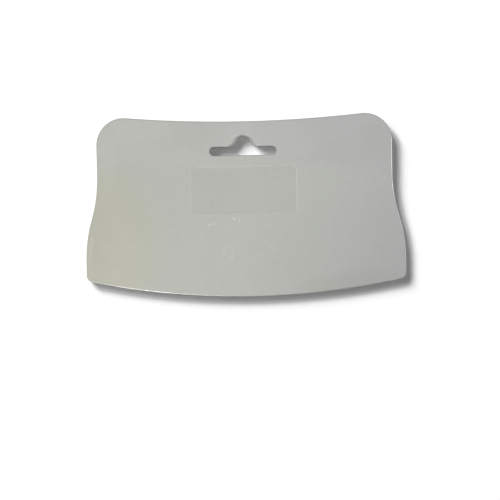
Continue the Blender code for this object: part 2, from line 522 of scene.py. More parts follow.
@dataclass(frozen=True)
class Clouds:
    """A cloudy noise, about 0.5 on average.

    Attributes:
        scale: Clouds for each metre.
        detail: How many finer layers it has.
        rough: How strong the finer layers are.
        fade: What the noise is turned into, or None to leave it.
    """

    scale: float
    detail: float
    rough: float
    fade: Fade | None = None


class Arithmetic(Enum):
    """Sums that run through a row of numbers, and what each one gives."""

    ADD = "total"
    MULTIPLY = "product"
    MAXIMUM = "largest"


class ShaderBench:
    """Lays out the nodes of one material or world and joins them."""

    def __init__(self, owner: bpy.types.Material | bpy.types.World) -> None:
        """Clears the nodes of a material or a world for new work.

        Args:
            owner: The material or the world.
        """
        owner.use_nodes = True
        self.tree = owner.node_tree
        self.output = "OutputWorld" if isinstance(owner, bpy.types.World) else "OutputMaterial"
        self.tree.nodes.clear()

    def feed(self, target: Socket, value: Value) -> None:
        """Joins a socket to an input, or writes a plain value there.

        Args:
            target: The input.
            value: The socket, number or colour that it takes.
        """
        if isinstance(value, bpy.types.NodeSocket):
            self.tree.links.new(value, target)
        elif isinstance(value, tuple) and target.type == "RGBA":
            target.default_value = (*value, 1.0)
        else:
            target.default_value = value

    def node(
        self, kind: str, label: str, inputs: dict[str | int, Value] | None = None, **settings: str
    ) -> bpy.types.Node:
        """Adds a node.

        Args:
            kind: The end of its type's name.
            label: What the node does here.
            inputs: What its inputs take, by their names or numbers.
            settings: What it is set to.

        Returns:
            The new node.
        """
        made = self.tree.nodes.new(f"ShaderNode{kind}")
        made.label = label
        for name, setting in settings.items():
            setattr(made, name, setting)
        for key, value in (inputs or {}).items():
            self.feed(made.inputs[key], value)
        return made

    @cached_property
    def piece(self) -> bpy.types.NodeOutputs:
        """The piece's own coordinates, by name."""
        return self.node("TexCoord", "piece_coordinates").outputs

    def attribute(self, name: str) -> Socket:
        """The number that the mesh carries under a name."""
        return self.node("Attribute", name, attribute_name=name).outputs["Fac"]

    def axis(self, name: str, vector: str = "Object") -> Socket:
        """The X, Y or Z of one of the piece's own coordinates."""
        return self.node("SeparateXYZ", name, {0: self.piece[vector]}).outputs[name]

    def placed(self, centre: Colour, turn: float, scale: Colour) -> Socket:
        """Centres, turns and stretches a pattern on the piece.

        Args:
            centre: The place that becomes the pattern's middle.
            turn: The pattern's own turn about Z.
            scale: How much each axis is multiplied by.

        Returns:
            The new coordinates.
        """
        inputs = {0: self.piece["Object"], 1: centre}
        moved = self.node("VectorMath", "centre", inputs, operation="SUBTRACT")
        inputs = {"Vector": moved.outputs[0], "Rotation": (0.0, 0.0, -turn)}
        turned = self.node("Mapping", "turn", inputs)
        inputs = {0: turned.outputs[0], 1: scale}
        return self.node("VectorMath", "stretch", inputs, operation="MULTIPLY").outputs[0]

    def faded(self, value: Socket, fade: Fade) -> Socket:
        """Turns a number into a value that changes as the number rises.

        Args:
            value: The number.
            fade: The change.

        Returns:
            The changing value.
        """
        names = ("Value", "From Min", "From Max", "To Min", "To Max")
        inputs = dict(zip(names, (value, fade.low, fade.high, fade.start, fade.end)))
        easing = "SMOOTHSTEP" if fade.smooth else "LINEAR"
        made = self.node("MapRange", "fade", inputs, interpolation_type=easing)
        return made.outputs["Result"]

    def cloudy(self, clouds: Clouds, vector: Socket | None = None) -> Socket:
        """Adds a cloudy noise.

        Args:
            clouds: Its sizes, and what it is turned into.
            vector: The coordinates that it reads, or None for the piece's own.

        Returns:
            The noise.
        """
        source = self.piece["Object"] if vector is None else vector
        names = ("Vector", "Scale", "Detail", "Roughness")
        inputs = dict(zip(names, (source, clouds.scale, clouds.detail, clouds.rough)))
        noise = self.node("TexNoise", "clouds", inputs).outputs["Fac"]
        return noise if clouds.fade is None else self.faded(noise, clouds.fade)

    def chain(self, step: Arithmetic, values: tuple[Socket | float, ...]) -> Socket:
        """Works one kind of sum through a row of numbers.

        Args:
            step: The kind of sum.
            values: The numbers, the first of them a socket.

        Returns:
            The result.
        """
        result, *others = values
        for value in others:
            made = self.node("Math", step.value, {0: result, 1: value}, operation=step.name)
            result = made.outputs[0]
        return result

    def total(self, *values: Socket | float) -> Socket:
        """The numbers added up."""
        return self.chain(Arithmetic.ADD, values)

    def product(self, *values: Socket | float) -> Socket:
        """The numbers multiplied together."""
        return self.chain(Arithmetic.MULTIPLY, values)

    def largest(self, *values: Socket | float) -> Socket:
        """The largest of the numbers."""
        return self.chain(Arithmetic.MAXIMUM, values)

    def unsigned(self, value: Socket) -> Socket:
        """The number without its sign."""
        return self.node("Math", "unsigned", {0: value}, operation="ABSOLUTE").outputs[0]

    def toned(self, colour: Socket, tone: Socket) -> Socket:
        """The colour, lighter for a tone above 1 and darker for one below."""
        inputs = {0: colour, "Scale": tone}
        return self.node("VectorMath", "tone", inputs, operation="SCALE").outputs[0]

    def blend(self, share: Socket, first: Socket | float, second: Socket | float) -> Socket:
        """Mixes two numbers by the second one's share."""
        inputs = {0: share, 2: first, 3: second}
        return self.node("Mix", "blend", inputs, data_type="FLOAT").outputs[0]

    def mix(self, share: Socket, first: Socket | Colour, second: Socket | Colour) -> Socket:
        """Mixes two colours by the second one's share."""
        inputs = {0: share, 6: first, 7: second}
        return self.node("Mix", "mix", inputs, data_type="RGBA").outputs[2]

    def ramp(self, share: Socket, stops: tuple[tuple[float, Colour], ...]) -> Socket:
        """Runs a number through a row of colours.

        Args:
            share: The number, from 0 to 1.
            stops: Where each colour stands, and the colour.

        Returns:
            The colour.
        """
        made = self.node("ValToRGB", "ramp", {0: share})
        made.color_ramp.interpolation = "EASE"
        elements = made.color_ramp.elements
        while len(elements) < len(stops):
            elements.new(1.0)
        for element, (place, colour) in zip(elements, stops):
            element.position = place
            element.color = (*colour, 1.0)
        return made.outputs["Color"]

    def bump(self, height: Socket, distance: float, under: Socket | None = None) -> Socket:
        """Raises fine relief on the surface.

        Args:
            height: The relief, from 0 to 1.
            distance: How high a relief of 1 stands.
            under: The normal that it starts from, or None for the surface's own.

        Returns:
            The new normal.
        """
        inputs = {"Strength": 1.0, "Distance": distance, "Height": height}
        if under is not None:
            inputs["Normal"] = under
        return self.node("Bump", "relief", inputs).outputs["Normal"]

    def seen(self) -> Socket:
        """Tells rays that look at the background from rays that light the piece.

        Returns:
            1 for camera, glossy and transmission rays, and 0 for the rest.
        """
        rays = self.node("LightPath", "who_looks").outputs
        kinds = ("Camera", "Glossy", "Transmission")
        return self.largest(*(rays[f"Is {kind} Ray"] for kind in kinds))

    def split(self, for_light: Socket, for_the_eye: Socket) -> Socket:
        """Takes one shader where a surface lights the piece and another where it is seen."""
        inputs = {0: self.seen(), 1: for_light, 2: for_the_eye}
        return self.node("MixShader", "split", inputs).outputs[0]

    def end(self, shader: Socket) -> None:
        """Makes a shader the look of the material or the world."""
        self.node(self.output, "surface", {"Surface": shader})


class WearAndLightKind(Enum):
    """Marks of use on the plate, and patches of painted light and shade."""

    RUB_AND_PAINTED_LIGHT = "rub_and_painted_light"
    STAIN_AND_PAINTED_SHADE = "stain_and_shade"
    PAINTED_WALL_LIGHT = "painted_wall_light"
    POLISH = "polish"


@dataclass(frozen=True)
class WearAndLightMark:
    """One mark on the plate: a mark of use, a patch of painted light, a patch of painted shade,
    or a polished stretch of the rim.

    Attributes:
        kind: A pale mark on the front, which is wear, a broad lighter patch or a painted
            highlight; a dark mark on the front, which is one of the small stains or painted
            shade; painted light on the slot's wall; or a polished stretch of the rim.
        place: Its middle, across the plate and from the plate's middle towards the grip.
        length: How long it is.
        width: How wide it is.
        turn_degrees: Its turn from +X.
        strength: How plain it is, from 0 to 1.
        core: Share of its size over which it is at its plainest.
        front_height: Height of the front, where the pale and dark marks lie.
        reach: How far below or above it they still show.
    """

    kind: WearAndLightKind
    place: tuple[float, float]
    length: float
    width: float
    turn_degrees: float
    strength: float
    core: float = 0.35
    front_height: float = 0.0024
    reach: float = 0.0015

    def mask(self, bench: ShaderBench) -> Socket:
        """Builds the mark's soft-edged mask.

        Args:
            bench: The material's bench.

        Returns:
            The mask: its strength on the mark and 0 elsewhere.
        """
        on_front = self.kind in (WearAndLightKind.RUB_AND_PAINTED_LIGHT, WearAndLightKind.STAIN_AND_PAINTED_SHADE)
        through = 1 / self.reach if on_front else 0.0
        stretch = (2 / self.length, 2 / self.width, through)
        turn = math.radians(self.turn_degrees)
        flat = bench.placed((*self.place, self.front_height), turn, stretch)
        away = bench.node("VectorMath", self.kind.value, {0: flat}, operation="LENGTH")
        return bench.faded(away.outputs["Value"], Fade(self.core, 1.0, self.strength, 0.0))


@dataclass(frozen=True)
class NaturalPolyethylene:
    """Unpigmented polyethylene with a matt moulded skin and light wear, whose colour also carries
    painted light and shade.

    Heights here are over the plate's middle.

    Attributes:
        name: The material's name.
        tint_and_shade_stops: Colours from the warm left side to the cool right side. They are
            brightest a little right of the middle and darker towards the right side, which is
            painted shade where the light falls off.
        across: The way from the left side to the right side along those colours.
        drift_clouds: Clouds that break this drift.
        cooling: How far the colours cool towards the grip, by height.
        mottle: Faint mottling of the tone.
        panel_tone: The tone of the panel's floor, against 1 on the front.
        painted_shade_twist: How much lighter the tone is for each square metre of across times
            up, so that two opposite corners are lighter and the other two darker. This is painted
            light and shade: darker at the lower right and the upper left.
        wear_and_highlight_colour: Colour of the pale marks: wear and scratches, and the painted
            highlights and painted light.
        stain_and_shade: Colour of the small dark stains and of the broad patches of painted
            shade.
        rim_tilt: The rim's mask, by the upright part of the normal.
        wear_and_glint_low: How pale the rim is by height, where wear and a painted glint run
            along it.
        wear_and_glint_left: How pale it is from the left to the right.
        wear_and_glint_off_corner: How far the paleness spares the lower left corner.
        wear_and_glint_clouds: Clouds that break the paleness into flecks.
        lip_middle: Height of the panel's middle.
        lip_highlight: How pale the panel's lip is, by the distance from that middle up or down:
            along its sides, and less along its level runs. The paleness is a painted highlight.
            down: along its sides, and less along its level runs.
        scratch_ways: The turn of each set of fine scratches, and how many there are in a
            metre along them and across them.
        scratches: The scratches, one way.
        scratch_patches: Clouds that leave the scratches in patches.
        scratch_wear: How pale the scratches are.
        scratch_roughness: How much rougher they are.
        scratch_depth: How deep they are.
        skin: The skin's roughness.
        rim_roughness: Roughness of the rim where handling has polished it.
        waves: Broad, shallow waves in the front.
        wave_height: How high they are.
        grain: The fine moulded texture.
        grain_height: How high it is.
        index: Index of refraction.
        inner_glow: Share of light that spreads inside the plastic.
        glow_colour: How far each colour spreads, against the farthest.
        glow_depth: How far that is.
    """

    name: str = "natural_polyethylene"
    # The last stops are darker: painted shade towards the right side, where the light falls off.
    tint_and_shade_stops: tuple[tuple[float, Colour], ...] = (
        (0.00, (0.429, 0.435, 0.356)),
        (0.12, (0.458, 0.463, 0.386)),
        (0.25, (0.464, 0.473, 0.429)),
        (0.38, (0.477, 0.486, 0.448)),
        (0.52, (0.491, 0.499, 0.463)),
        (0.75, (0.467, 0.479, 0.446)),
        (1.00, (0.439, 0.449, 0.440)),
    )
    across: Fade = Fade(-0.077, 0.077, smooth=False)
    drift_clouds: Clouds = Clouds(17.0, 1.5, 0.5, Fade(0.3, 0.7, -0.045, 0.045))
    cooling: Fade = Fade(0.0127, 0.0327, 0.0, 0.36)
    mottle: Clouds = Clouds(420.0, 4.0, 0.55, Fade(0.3, 0.7, 0.985, 1.015))
    panel_tone: Fade = Fade(0.0, 1.0, 1.0, 0.957)
    painted_shade_twist: float = 21.0
    wear_and_highlight_colour: Colour = (0.740, 0.740, 0.710)
    stain_and_shade: Colour = (0.260, 0.250, 0.220)
    rim_tilt: Fade = Fade(0.85, 0.985, 1.0, 0.0)
    wear_and_glint_low: Fade = Fade(-0.038, -0.025, 1.0, 0.12)
    wear_and_glint_left: Fade = Fade(-0.035, 0.015, 1.0, 0.15)
    wear_and_glint_off_corner: Fade = Fade(-0.072, -0.060, 0.10, 1.0)
    wear_and_glint_clouds: Clouds = Clouds(520.0, 3.0, 0.6, Fade(0.36, 0.66, 0.25, 1.0))
    lip_middle: float = 0.0081
    lip_highlight: Fade = Fade(0.0095, 0.0105, 0.72, 0.40)
    scratch_ways: tuple[tuple[float, float, float], ...] = (
        (0.35, 40.0, 1500.0),
        (-0.9, 55.0, 1900.0),
    )
    scratches: Clouds = Clouds(1.0, 1.0, 0.4, Fade(0.66, 0.72))
    scratch_patches: Clouds = Clouds(38.0, 2.0, 0.5, Fade(0.48, 0.62))
    scratch_wear: float = 0.06
    scratch_roughness: float = 0.08
    scratch_depth: float = 0.000002
    skin: Clouds = Clouds(180.0, 3.0, 0.5, Fade(0.3, 0.7, 0.42, 0.46))
    rim_roughness: float = 0.28
    waves: Clouds = Clouds(34.0, 1.0, 0.5)
    wave_height: float = 0.00003
    grain: Clouds = Clouds(1700.0, 3.0, 0.6)
    grain_height: float = 0.000004
    index: float = 1.51
    inner_glow: float = 0.15
    glow_colour: Colour = (1.0, 0.95, 0.85)
    glow_depth: float = 0.0012

    def skin_colour_and_painted_shade(self, bench: ShaderBench) -> Socket:
        """Builds the colour of the skin, which drifts slowly over the plate, with painted shade
        towards the right side and painted light and shade between the corners.

        Args:
            bench: The material's bench.

        Returns:
            The colour.
        """
        x = bench.axis("X")
        y = bench.axis("Y")
        clouds = bench.cloudy(self.drift_clouds)
        place = bench.total(bench.faded(x, self.across), clouds, bench.faded(y, self.cooling))
        mottle = bench.cloudy(self.mottle)
        sunk = bench.faded(bench.attribute("panel_floor"), self.panel_tone)
        # Painted light and shade: lighter at the upper right and the lower left, darker at the
        # other two corners.
        painted_twist = bench.total(bench.product(x, y, self.painted_shade_twist), 1.0)
        tone = bench.product(mottle, sunk, painted_twist)
        return bench.toned(bench.ramp(place, self.tint_and_shade_stops), tone)

    def rim(self, bench: ShaderBench) -> Socket:
        """The mask of the rim: 1 where the surface tilts and 0 where it is level."""
        return bench.faded(bench.unsigned(bench.axis("Z", "Normal")), self.rim_tilt)

    def edge_wear_and_glint(self, bench: ShaderBench, rim: Socket) -> Socket:
        """Builds the mask of the pale line along the lower left rim: wear, and a painted glint.

        Args:
            bench: The material's bench.
            rim: The mask of the rim.

        Returns:
            The mask, from 0 to 1.
        """
        x = bench.axis("X")
        low = bench.faded(bench.axis("Y"), self.wear_and_glint_low)
        left = bench.faded(x, self.wear_and_glint_left)
        off_corner = bench.faded(x, self.wear_and_glint_off_corner)
        return bench.product(rim, low, left, off_corner, bench.cloudy(self.wear_and_glint_clouds))

    def painted_lip_highlight(self, bench: ShaderBench) -> Socket:
        """The mask of the painted highlight along the panel's lip, from 0 to 1."""
        height = bench.unsigned(bench.total(bench.axis("Y"), -self.lip_middle))
        return bench.product(bench.attribute("panel_lip"), bench.faded(height, self.lip_highlight))

    def hairlines(self, bench: ShaderBench) -> Socket:
        """Builds the mask of fine scratches that run two ways over the front.

        Args:
            bench: The material's bench.

        Returns:
            The mask, from 0 to 1.
        """
        masks = []
        for turn, along, across in self.scratch_ways:
            fibres = bench.placed((0.0, 0.0, 0.0), turn, (along, across, 1.0))
            masks.append(bench.cloudy(self.scratches, fibres))
        return bench.product(bench.largest(*masks), bench.cloudy(self.scratch_patches))

    def material(self, wear_and_light_marks: tuple[WearAndLightMark, ...]) -> bpy.types.Material:
        """Builds the material.

        Args:
            wear_and_light_marks: The marks of use, and the patches of painted light and shade.

        Returns:
            The finished material.
        """
        made = bpy.data.materials.new(self.name)
        bench = ShaderBench(made)
        rim = self.rim(bench)
        lines = self.hairlines(bench)
        masks = {kind: [] for kind in WearAndLightKind}
        for each_mark in wear_and_light_marks:
            masks[each_mark.kind].append(each_mark.mask(bench))
        colour = self.skin_colour_and_painted_shade(bench)
        # Dark marks: small stains, and broad patches of painted shade on the right side.
        for stain_and_shade_mask in masks[WearAndLightKind.STAIN_AND_PAINTED_SHADE]:
            colour = bench.mix(stain_and_shade_mask, colour, self.stain_and_shade)
        # Pale marks: wear and scratches, with painted highlights along the lower left rim and the
        # panel's lip, and painted light on the slot's wall and the upper left.
        wear_and_highlight = bench.largest(
            # Wear and a painted glint along the lower left rim.
            self.edge_wear_and_glint(bench, rim),
            bench.product(lines, self.scratch_wear),
            # Painted highlight along the panel's lip.
            self.painted_lip_highlight(bench),
            # Painted light on the slot's crown wall, which makes it pale as light through the
            # plastic would.
            bench.product(rim, bench.largest(*masks[WearAndLightKind.PAINTED_WALL_LIGHT])),
            *masks[WearAndLightKind.RUB_AND_PAINTED_LIGHT],
        )
        colour = bench.mix(wear_and_highlight, colour, self.wear_and_highlight_colour)
        matt = bench.total(bench.cloudy(self.skin), bench.product(lines, self.scratch_roughness))
        polished = bench.product(rim, bench.largest(*masks[WearAndLightKind.POLISH]))
        normal = bench.bump(bench.cloudy(self.waves), self.wave_height)
        normal = bench.bump(bench.cloudy(self.grain), self.grain_height, normal)
        inputs = {
            "Base Color": colour,
            "Roughness": bench.blend(polished, matt, self.rim_roughness),
            "Normal": bench.bump(lines, -self.scratch_depth, normal),
            "IOR": self.index,
            "Metallic": 0.0,
            "Subsurface Weight": self.inner_glow,
            "Subsurface Radius": self.glow_colour,
            "Subsurface Scale": self.glow_depth,
        }
        bench.end(bench.node("BsdfPrincipled", "plastic", inputs).outputs[0])
        return made


@dataclass
class SpatulaPlate:
    """The whole spatula: one plate with a rounded rim, a slot and a sunk panel.

    Attributes:
        outline: The plate's outline.
        slot: The hanging slot.
        panel: The sunk panel.
        marks: The marks on the back.
        finish: The plastic.
        wear_and_light_marks: The marks of use, and the patches of painted light and shade.
        grip_thickness: Thickness at the shoulders.
        edge_thickness: Thickness at the lowest point of the working edge.
        rim_land: Narrow flat between the front's and the back's rounding at the grip.
        rim_segments: Faces across each rounding of the rim.
        corner_degrees: Above this angle an edge is a corner, not a curve.
        seam: How near the middle line a point counts as on it.
    """

    outline: PlateOutline = field(default_factory=PlateOutline)
    slot: HangingSlot = field(default_factory=HangingSlot)
    panel: SunkPanel = field(default_factory=SunkPanel)
    marks: BackMarks = field(default_factory=BackMarks)
    finish: NaturalPolyethylene = field(default_factory=NaturalPolyethylene)
    wear_and_light_marks: tuple[WearAndLightMark, ...] = (
        # Two small dark stains.
        WearAndLightMark(WearAndLightKind.STAIN_AND_PAINTED_SHADE, (-0.0371, 0.0235), 0.0011, 0.0008, 20.0, 0.40),
        WearAndLightMark(WearAndLightKind.STAIN_AND_PAINTED_SHADE, (-0.0099, 0.0352), 0.0010, 0.0007, 40.0, 0.22),
        # Painted shade: two broad dark patches on the right side, where the light falls off.
        WearAndLightMark(WearAndLightKind.STAIN_AND_PAINTED_SHADE, (0.0510, -0.0385), 0.0640, 0.0190, 7.0, 0.15),
        WearAndLightMark(WearAndLightKind.STAIN_AND_PAINTED_SHADE, (0.0640, 0.0310), 0.0240, 0.0240, 0.0, 0.08),
        # Two broad lighter patches over the upper middle.
        WearAndLightMark(WearAndLightKind.RUB_AND_PAINTED_LIGHT, (0.0110, 0.0340), 0.0660, 0.0300, 2.0, 0.12),
        WearAndLightMark(WearAndLightKind.RUB_AND_PAINTED_LIGHT, (0.0260, 0.0275), 0.0300, 0.0110, 0.0, 0.11),
        # Painted light: two broad lighter patches on the upper left and the left side, where the
        # light from the left falls strongest.
        WearAndLightMark(WearAndLightKind.RUB_AND_PAINTED_LIGHT, (-0.0500, 0.0385), 0.0480, 0.0200, 0.0, 0.09),
        WearAndLightMark(WearAndLightKind.RUB_AND_PAINTED_LIGHT, (-0.0690, 0.0240), 0.0480, 0.0220, 90.0, 0.07),
        # Painted highlight: a pale line just inside the lower left rim.
        WearAndLightMark(WearAndLightKind.RUB_AND_PAINTED_LIGHT, (-0.0747, -0.0200), 0.0240, 0.0017, 83.0, 0.16),
        # Small pale marks of wear under the panel.
        WearAndLightMark(WearAndLightKind.RUB_AND_PAINTED_LIGHT, (-0.0169, -0.0087), 0.0019, 0.0017, 0.0, 0.34),
        WearAndLightMark(WearAndLightKind.RUB_AND_PAINTED_LIGHT, (-0.0145, -0.0083), 0.0026, 0.0013, 25.0, 0.34),
        WearAndLightMark(WearAndLightKind.RUB_AND_PAINTED_LIGHT, (-0.0189, -0.0095), 0.0015, 0.0011, 30.0, 0.14),
        WearAndLightMark(WearAndLightKind.RUB_AND_PAINTED_LIGHT, (-0.0126, -0.0062), 0.0024, 0.0013, -20.0, 0.12),
        WearAndLightMark(WearAndLightKind.RUB_AND_PAINTED_LIGHT, (-0.0047, -0.0060), 0.0026, 0.0017, -10.0, 0.36),
        WearAndLightMark(WearAndLightKind.RUB_AND_PAINTED_LIGHT, (-0.0022, -0.0067), 0.0028, 0.0014, -65.0, 0.34),
        WearAndLightMark(WearAndLightKind.RUB_AND_PAINTED_LIGHT, (-0.0059, -0.0213), 0.0115, 0.0009, 89.0, 0.17),
        WearAndLightMark(WearAndLightKind.RUB_AND_PAINTED_LIGHT, (-0.0060, -0.0247), 0.0028, 0.0013, 85.0, 0.22),
        WearAndLightMark(WearAndLightKind.RUB_AND_PAINTED_LIGHT, (-0.0095, -0.0204), 0.0085, 0.0009, 74.0, 0.15),
        WearAndLightMark(WearAndLightKind.RUB_AND_PAINTED_LIGHT, (-0.0102, -0.0228), 0.0020, 0.0013, 70.0, 0.22),
        WearAndLightMark(WearAndLightKind.RUB_AND_PAINTED_LIGHT, (0.0116, -0.0096), 0.0026, 0.0018, 0.0, 0.13),
        WearAndLightMark(WearAndLightKind.RUB_AND_PAINTED_LIGHT, (0.0143, -0.0105), 0.0095, 0.0009, -17.0, 0.11),
        WearAndLightMark(WearAndLightKind.RUB_AND_PAINTED_LIGHT, (0.0128, -0.0191), 0.0125, 0.0008, -45.0, 0.11),
        WearAndLightMark(WearAndLightKind.RUB_AND_PAINTED_LIGHT, (0.0136, -0.0204), 0.0034, 0.0010, -45.0, 0.18),
        WearAndLightMark(WearAndLightKind.RUB_AND_PAINTED_LIGHT, (0.0091, -0.0238), 0.0028, 0.0015, -55.0, 0.20),
        # Painted light on the slot's crown wall.
        WearAndLightMark(WearAndLightKind.PAINTED_WALL_LIGHT, (-0.0046, 0.0309), 0.0120, 0.0076, 55.0, 1.0),
        WearAndLightMark(WearAndLightKind.POLISH, (0.0709, 0.0220), 0.0500, 0.0160, 90.0, 1.0),
        WearAndLightMark(WearAndLightKind.POLISH, (-0.0709, 0.0220), 0.0500, 0.0160, 90.0, 1.0),
        WearAndLightMark(WearAndLightKind.POLISH, (-0.0475, -0.0403), 0.0420, 0.0140, -7.0, 1.0),
    )
    grip_thickness: float = 0.0026
    edge_thickness: float = 0.0021
    rim_land: float = 0.0012
    rim_segments: int = 10
    corner_degrees: float = 40.0
    seam: float = 0.000001

    def front_slope(self) -> float:
        """Rise of the front over the back for each unit of height."""
        return (self.grip_thickness - self.edge_thickness) / self.outline.full_height()

    def draw_half(self, shape: bmesh.types.BMesh, level: float, crown: Crown) -> None:
        """Draws the right half of one face and fills it.

        Args:
            shape: The bmesh to draw in.
            level: Height of the face over the floor.
            crown: The slot's crown on that face.
        """
        before = set(shape.edges)
        pen = Pen(shape, level)
        first = pen.put_down(0.0, self.outline.centre_height)
        self.outline.draw(pen)
        self.panel.draw(pen)
        self.slot.draw(pen, crown)
        pen.close(first)
        for vertex in shape.verts:
            if abs(vertex.co.x) < self.seam:
                vertex.co.x = 0.0
        drawn = [e for e in shape.edges if e not in before]
        bmesh.ops.edgeloop_fill(shape, edges=drawn)
        points = once_each(v for e in drawn for v in e.verts if self.panel.holds(v.co))
        bmesh.ops.contextual_create(shape, geom=[v for v in points if v.co.x == 0.0])
        around = once_each(e for v in points for e in v.link_edges)
        panel = [e for e in around if all(v in points for v in e.verts)]
        bmesh.ops.edgeloop_fill(shape, edges=panel)

    def draw_faces(self, shape: bmesh.types.BMesh) -> None:
        """Draws the front and the back, mirrors them, and joins them with walls.

        Args:
            shape: An empty bmesh.
        """
        self.draw_half(shape, 0.0, self.slot.back_crown)
        self.draw_half(shape, self.grip_thickness, self.slot.front_crown)
        bmesh.ops.mirror(
            shape,
            geom=shape.verts[:] + shape.edges[:] + shape.faces[:],
            matrix=Matrix.Identity(4),
            merge_dist=self.seam,
            axis="X",
        )
        border = [e for e in shape.edges if e.is_boundary]
        for in_slot in (False, True):
            loops = [e for e in border if self.slot.holds(e.verts[0].co) == in_slot]
            bmesh.ops.bridge_loops(shape, edges=loops)
        bmesh.ops.recalc_face_normals(shape, faces=shape.faces[:])

    def round_edges(self, shape: bmesh.types.BMesh, in_slot: bool) -> None:
        """Rounds the corner edges of the rim or of the slot.

        Args:
            shape: The plate.
            in_slot: True for the slot, False for the rim.
        """
        limit = math.radians(self.corner_degrees)
        sharp = [e for e in shape.edges if e.calc_face_angle(0.0) > limit]
        edges = [e for e in sharp if self.slot.holds(e.verts[0].co) == in_slot]
        if in_slot:
            round_off(shape, edges, self.slot.rim_radius, self.slot.rim_segments)
        else:
            radius = (self.grip_thickness - self.rim_land) / 2
            round_off(shape, edges, radius, self.rim_segments)

    def taper(self, shape: bmesh.types.BMesh) -> None:
        """Thins the plate evenly towards the working edge.

        Args:
            shape: The plate, as thick all over as at the grip.
        """
        for vertex in shape.verts:
            wall = self.edge_thickness + self.front_slope() * vertex.co.y
            vertex.co.z *= wall / self.grip_thickness

    def sink_panel(self, shape: bmesh.types.BMesh) -> None:
        """Sinks the panel squarely into the sloping front, with leaning walls.

        Its floor and its lip carry an attribute each, which the plastic reads.

        Args:
            shape: The plate.
        """
        panel = self.panel
        floor_mask = shape.verts.layers.float.new("panel_floor")
        lip_mask = shape.faces.layers.float.new("panel_lip")
        level = [f for f in shape.faces if f.normal.z > LEVEL]
        floor = [f for f in level if all(panel.holds(v.co) for v in f.verts)]
        bmesh.ops.inset_region(
            shape,
            faces=floor,
            use_boundary=True,
            use_even_offset=True,
            thickness=panel.draft,
            depth=-panel.depth,
        )
        points = once_each(v for f in floor for v in f.verts)
        for point in points:
            point[floor_mask] = 1.0
        walls = once_each(f for p in points for f in p.link_faces if abs(f.normal.z) < LEVEL)
        edges = once_each(e for f in walls for e in f.edges)
        loops = [e for e in edges if e.calc_face_angle(0.0) > panel.lip_angle]
        for face in round_off(shape, loops, panel.lip_radius, panel.lip_segments):
            face[lip_mask] = 1.0

    def press_marks(self, shape: bmesh.types.BMesh) -> None:
        """Opens the flat back, closes it again round the marks, and presses them in.

        Args:
            shape: The plate.
        """
        back = [f for f in shape.faces if all(v.co.z == 0.0 for v in f.verts)]
        bmesh.ops.delete(shape, geom=back, context="FACES_KEEP_BOUNDARY")
        circles = self.marks.draw(shape)
        border = [e for e in shape.edges if len(e.link_faces) < 2]
        bmesh.ops.triangle_fill(shape, edges=border, use_beauty=True, normal=(0, 0, -1))
        self.marks.press(shape, circles)

    def build(self) -> bpy.types.Object:
        """Models the plate.

        Returns:
            The plate, with its place in its mesh.
        """
        shape = bmesh.new()
        self.draw_faces(shape)
        self.round_edges(shape, in_slot=False)
        self.round_edges(shape, in_slot=True)
        self.taper(shape)
        self.sink_panel(shape)
        self.press_marks(shape)
        bmesh.ops.recalc_face_normals(shape, faces=shape.faces[:])
        back_to_middle = (0.0, -self.outline.full_height() / 2, 0.0)
        bmesh.ops.translate(shape, vec=back_to_middle, verts=shape.verts[:])
        open_edges = sum(1 for e in shape.edges if not e.is_manifold)
        volume = shape.calc_volume(signed=True) * CUBIC_MILLIMETRES
        plate = piece_from(shape, "spatula_plate_moulding")
        plate.data.shade_smooth()
        plate.data.set_sharp_from_angle(angle=math.radians(self.corner_degrees))
        even = plate.modifiers.new("even_shading", "WEIGHTED_NORMAL")
        even.keep_sharp = True
        faces = len(plate.data.polygons)
        LOG.info("plate: %d faces, %d open edges, %.0f mm3", faces, open_edges, volume)
        return plate

    def dress(self, plate: bpy.types.Object) -> None:
        """Gives the plate its plastic and puts it in the place of the plain solid.

        Args:
            plate: The modelled plate.
        """
        plate.data.materials.append(self.finish.material(self.wear_and_light_marks))
        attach(plate, "root")
        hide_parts("spatula_plate")


@dataclass(frozen=True)
class Lamp:
    """What every lamp of the studio has.

    Attributes:
        name: The lamp's name.
        azimuth_degrees: Where it stands, anticlockwise from +X.
        elevation_degrees: How high it stands over the floor.
        share: The part of a level matt face's brightness that it gives, or would give if
            it lit one.
    """

    name: str
    azimuth_degrees: float
    elevation_degrees: float
    share: float

    def direction(self) -> Vector:
        """Unit vector from the plate's middle to the lamp."""
        azimuth = math.radians(self.azimuth_degrees)
        elevation = math.radians(self.elevation_degrees)
        flat = math.cos(elevation)
        return Vector((flat * math.cos(azimuth), flat * math.sin(azimuth), math.sin(elevation)))

    def place(self, light: bpy.types.Light) -> bpy.types.Object:
        """Puts the lamp in the scene, turned to the plate's middle.

        Args:
            light: Its light.

        Returns:
            The lamp, still at the origin.
        """
        made = add_to_scene(self.name, light)
        made.rotation_euler = self.direction().to_track_quat("Z", "Y").to_euler()
        return made


@dataclass(frozen=True)
class Softbox(Lamp):
    """A soft lamp near the plate.

    Attributes:
        distance: How far it is from the plate's middle.
        size: Its width and height.
        tint: Its colour.
        on_matt: True where it lights matt surfaces too, False where it only glints.
    """

    distance: float
    size: tuple[float, float]
    tint: Colour = (1.0, 1.0, 1.0)
    on_matt: bool = True

    def build(self) -> bpy.types.Object:
        """Makes the lamp.

        Returns:
            The lamp.
        """
        light = bpy.data.lights.new(self.name, "AREA")
        light.shape = "RECTANGLE"
        light.size, light.size_y = self.size
        light.color = self.tint
        light.energy = self.share * math.pi**2 * self.distance**2 / self.direction().z
        made = self.place(light)
        made.location = self.direction() * self.distance
        made.visible_diffuse = self.on_matt
        return made


